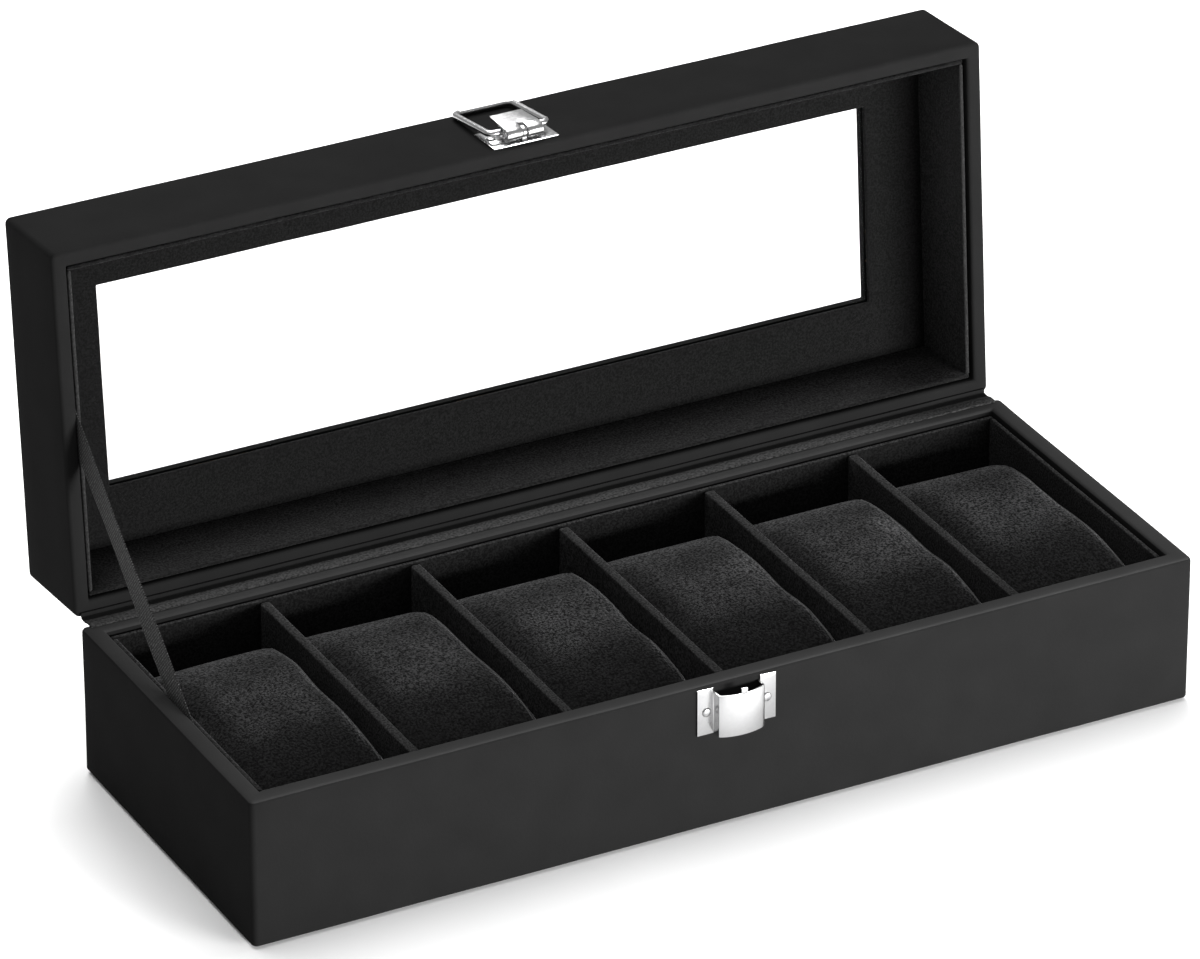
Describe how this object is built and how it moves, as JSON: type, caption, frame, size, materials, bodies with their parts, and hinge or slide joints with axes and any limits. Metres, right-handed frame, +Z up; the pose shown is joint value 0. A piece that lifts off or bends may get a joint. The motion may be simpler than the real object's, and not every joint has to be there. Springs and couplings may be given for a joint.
{
  "type": "watch box",
  "caption": "Long leathercloth-covered watch box with a row of velvet-lined compartments, lift-out pillows, a glazed lid on a cloth hinge, a stay ribbon and a draw clasp.",
  "frame": {"origin": "middle of the underside of the base, on the felt's lower face", "axes": "+X along the length to the right as seen from the front, -Y out of the front with the clasp, +Z up; at rest the lid is open on its stop"},
  "size_m": [0.3, 0.1638, 0.1634],
  "materials": {
    "board": "raw fibreboard",
    "leathercloth": "fine smooth grain, satin",
    "felt": "flock",
    "velvet_card": "short velvet on card",
    "pillow_velvet": "short velvet",
    "foam": "open-cell foam",
    "ribbon": "woven, ribbed",
    "glass": "clear polished",
    "nickel_steel": "bright nickel plate"
  },
  "bodies": {
    "base": {"base_bottom_board": "board", "base_front_board": "board", "base_back_board": "board", "base_left_board": "board", "base_right_board": "board", "base_wrap": "leathercloth", "underside_felt": "felt", "floor_liner": "velvet_card", "base_front_liner": "velvet_card", "base_back_liner": "velvet_card", "base_left_liner": "velvet_card", "base_right_liner": "velvet_card", "divider_1": "velvet_card", "divider_2": "velvet_card", "divider_3": "velvet_card", "divider_4": "velvet_card", "divider_5": "velvet_card", "strike_plate": "nickel_steel", "strike_nails": "nickel_steel", "hinge_strip": "leathercloth", "stay_ribbon": "ribbon"},
    "lid": {"lid_front_board": "board", "lid_back_board": "board", "lid_left_board": "board", "lid_right_board": "board", "lid_top_board": "board", "lid_wrap": "leathercloth", "glass_pane": "glass", "window_frame": "velvet_card", "lid_front_liner": "velvet_card", "lid_back_liner": "velvet_card", "lid_left_liner": "velvet_card", "lid_right_liner": "velvet_card", "latch_plate": "nickel_steel", "latch_nails": "nickel_steel", "lever_pin": "nickel_steel"},
    "lever": {"latch_lever": "nickel_steel"},
    "bail": {"latch_bail": "nickel_steel"},
    "pillow_1": {"pillow_cover_1": "pillow_velvet", "pillow_core_1": "foam"},
    "pillow_2": {"pillow_cover_2": "pillow_velvet", "pillow_core_2": "foam"},
    "pillow_3": {"pillow_cover_3": "pillow_velvet", "pillow_core_3": "foam"},
    "pillow_4": {"pillow_cover_4": "pillow_velvet", "pillow_core_4": "foam"},
    "pillow_5": {"pillow_cover_5": "pillow_velvet", "pillow_core_5": "foam"},
    "pillow_6": {"pillow_cover_6": "pillow_velvet", "pillow_core_6": "foam"}
  },
  "joints": [
    {"name": "lid_hinge", "type": "hinge", "parent": "base", "child": "lid", "pos_m": [0, 0.0583, 0.0448], "axis": [-1, 0, 0], "range_deg": [-94.3, 0], "deforming": ["hinge_strip", "stay_ribbon"]},
    {"name": "lever_pivot", "type": "hinge", "parent": "lid", "child": "lever", "pos_m": [0.0008, 0.07358, 0.16133], "axis": [1, 0, 0], "range_deg": [0, 120]},
    {"name": "bail_pivot", "type": "hinge", "parent": "lever", "child": "bail", "pos_m": [0.0008, 0.07618, 0.16129], "axis": [-1, 0, 0], "range_deg": [-187.81, 0]},
    {"name": "pillow_1_lift", "type": "slide", "parent": "base", "child": "pillow_1", "axis": [0, 0, 1], "range_m": [0, 0.06]},
    {"name": "pillow_2_lift", "type": "slide", "parent": "base", "child": "pillow_2", "axis": [0, 0, 1], "range_m": [0, 0.06]},
    {"name": "pillow_3_lift", "type": "slide", "parent": "base", "child": "pillow_3", "axis": [0, 0, 1], "range_m": [0, 0.06]},
    {"name": "pillow_4_lift", "type": "slide", "parent": "base", "child": "pillow_4", "axis": [0, 0, 1], "range_m": [0, 0.06]},
    {"name": "pillow_5_lift", "type": "slide", "parent": "base", "child": "pillow_5", "axis": [0, 0, 1], "range_m": [0, 0.06]},
    {"name": "pillow_6_lift", "type": "slide", "parent": "base", "child": "pillow_6", "axis": [0, 0, 1], "range_m": [0, 0.06]}
  ]
}
